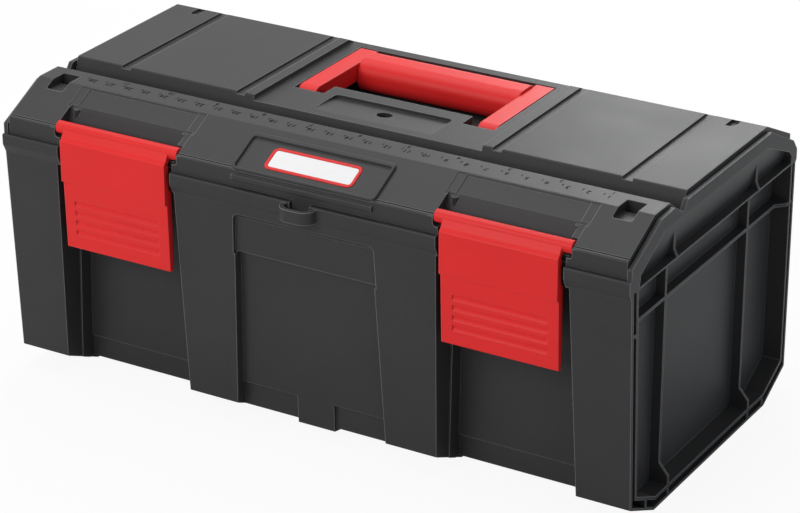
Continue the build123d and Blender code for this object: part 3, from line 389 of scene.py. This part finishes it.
def finishPiece(name, verts, faces, material, slot):
    # every new piece rides on the lid; its mesh is closed and its faces are turned outwards
    mesh = bpy.data.meshes.new(name)
    mesh.from_pydata(verts.tolist(), [], faces.tolist())
    made = bmesh.new()
    made.from_mesh(mesh)
    bmesh.ops.remove_doubles(made, verts=made.verts, dist=1e-7)
    bmesh.ops.recalc_face_normals(made, faces=made.faces)
    made.to_mesh(mesh)
    made.free()
    mesh.materials.append(material)
    piece = bpy.data.objects.new(name, mesh)
    scene.collection.objects.link(piece)
    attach(piece, "lid")


# border of the label plate: a low red bead that covers its edge and, as its inset is negative, the gap
# round it; slope is the plate's run and rise
borderValues = {"slope": (24.9, 12.1), "plate": (0.0122, 0.0012), "inset": -0.0006, "width": 0.0018,
                "rise": 0.0002, "sink": 0.0002, "corner": 0.0023, "cornerSteps": 12,
                "profileSteps": 10}


def makeBorder(v):
    # corner centre + (corner + s) * (cos t, sin t), lifted h along the plate's normal;
    # (s, h) runs round a flat ellipse while t runs round the four corners
    low, high = (np.array(corner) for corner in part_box("label_plate"))
    run, rise = np.array(v["slope"]) / math.hypot(*v["slope"])
    right, up, out = np.array([1, 0, 0]), np.array([0, run, rise]), np.array([0, -rise, run])
    tall, thick = v["plate"]
    margin = v["inset"] + v["width"] / 2 + v["corner"]
    half = np.array([(high[0] - low[0]) / 2 - margin, tall / 2 - margin])
    quarter = np.linspace(0, math.pi / 2, v["cornerSteps"])
    t = (quarter[None, :] + np.arange(4)[:, None] * math.pi / 2).ravel()
    middle = np.repeat(np.arange(4) * math.pi / 2 + math.pi / 4, v["cornerSteps"])
    corner = np.stack([np.sign(np.cos(middle)), np.sign(np.sin(middle))], 1) * half
    q = np.linspace(0, 2 * math.pi, v["profileSteps"], endpoint=False)
    s = v["corner"] + v["width"] / 2 * np.cos(q)
    h = thick / 2 + np.where(np.sin(q) > 0, v["rise"], v["sink"]) * np.sin(q)
    flat = corner[:, None, :] + s[None, :, None] * np.stack([np.cos(t), np.sin(t)], 1)[:, None, :]
    points = (low + high) / 2 + flat[..., :1] * right + flat[..., 1:] * up + h[None, :, None] * out
    return points, gridFaces(len(t), len(q))


def gridFaces(rows, columns):
    # quads of a grid that is closed both ways
    index = np.arange(rows * columns).reshape(rows, columns)
    ahead, beside = np.roll(index, -1, 0), np.roll(index, -1, 1)
    return np.stack([index, beside, np.roll(ahead, -1, 1), ahead], -1).reshape(-1, 4)


points, faces = makeBorder(borderValues)
finishPiece("label_border", points.reshape(-1, 3), faces, redPlastic, "red_plastic")

# ruled scale on the shelf of the lid, read from behind the box: centimetres and inches
scaleValues = {
    "rows": {
        "centimetres": {"marks": 28, "first": 0.135, "pitch": 0.010, "row": -0.0487, "size": 0.0042},
        "inches": {"marks": 11, "first": 0.1349, "pitch": 0.0254, "row": -0.0440, "size": 0.0034},
    },
    "tick": {"beside": -0.0032, "row": -0.0472, "size": (0.0004, 0.0018)},
    "rise": 0.00005,
    "curveSteps": 3,
}


def makeNumerals(v):
    # each numeral is a thin slab, turned half round about Z and set on the shelf
    top = cadBox[1][2]
    verts, faces, count = [], [], 0
    for row in v["rows"].values():
        for k in range(row["marks"]):
            curve = bpy.data.curves.new("numeral", "FONT")
            curve.body = str(k + 1)
            curve.size = row["size"]
            curve.extrude = v["rise"]
            curve.resolution_u = v["curveSteps"]
            curve.align_x = curve.align_y = "CENTER"
            holder = bpy.data.objects.new("numeral", curve)
            mesh = bpy.data.meshes.new_from_object(holder)
            mesh.calc_loop_triangles()
            place = np.empty(len(mesh.vertices) * 3)
            mesh.vertices.foreach_get("co", place)
            corners = np.empty(len(mesh.loop_triangles) * 3, dtype=int)
            mesh.loop_triangles.foreach_get("vertices", corners)
            at = np.array([row["first"] - k * row["pitch"], row["row"], top])
            verts.append(place.reshape(-1, 3) * (-1, -1, 1) + at)
            faces.append(corners.reshape(-1, 3) + count)
            count += len(mesh.vertices)
            for made in (holder, mesh, curve):
                bpy.data.batch_remove([made])
    return np.concatenate(verts), np.concatenate(faces)


def makeTicks(v):
    # a small block beside every centimetre numeral: unit cube corners times size, plus place
    row, tick = v["rows"]["centimetres"], v["tick"]
    cube = np.array([(x, y, z) for x in (-0.5, 0.5) for y in (-0.5, 0.5) for z in (-1.0, 1.0)])
    sides = np.array([(0, 1, 3, 2), (4, 6, 7, 5), (0, 4, 5, 1), (2, 3, 7, 6), (0, 2, 6, 4), (1, 5, 7, 3)])
    x = row["first"] + tick["beside"] - np.arange(row["marks"]) * row["pitch"]
    place = np.stack([x, np.full_like(x, tick["row"]), np.full_like(x, cadBox[1][2])], 1)
    verts = place[:, None, :] + cube[None] * (*tick["size"], v["rise"])
    faces = sides[None] + 8 * np.arange(row["marks"])[:, None, None]
    return verts.reshape(-1, 3), faces.reshape(-1, 4)


# the numerals and ticks take the darker scale finish, which is painted shade of the raised marks
finishPiece("shelf_numerals", *makeNumerals(scaleValues), scalePlastic, "shell_plastic")
finishPiece("shelf_ticks", *makeTicks(scaleValues), scalePlastic, "shell_plastic")
print("label border and shelf scale made")
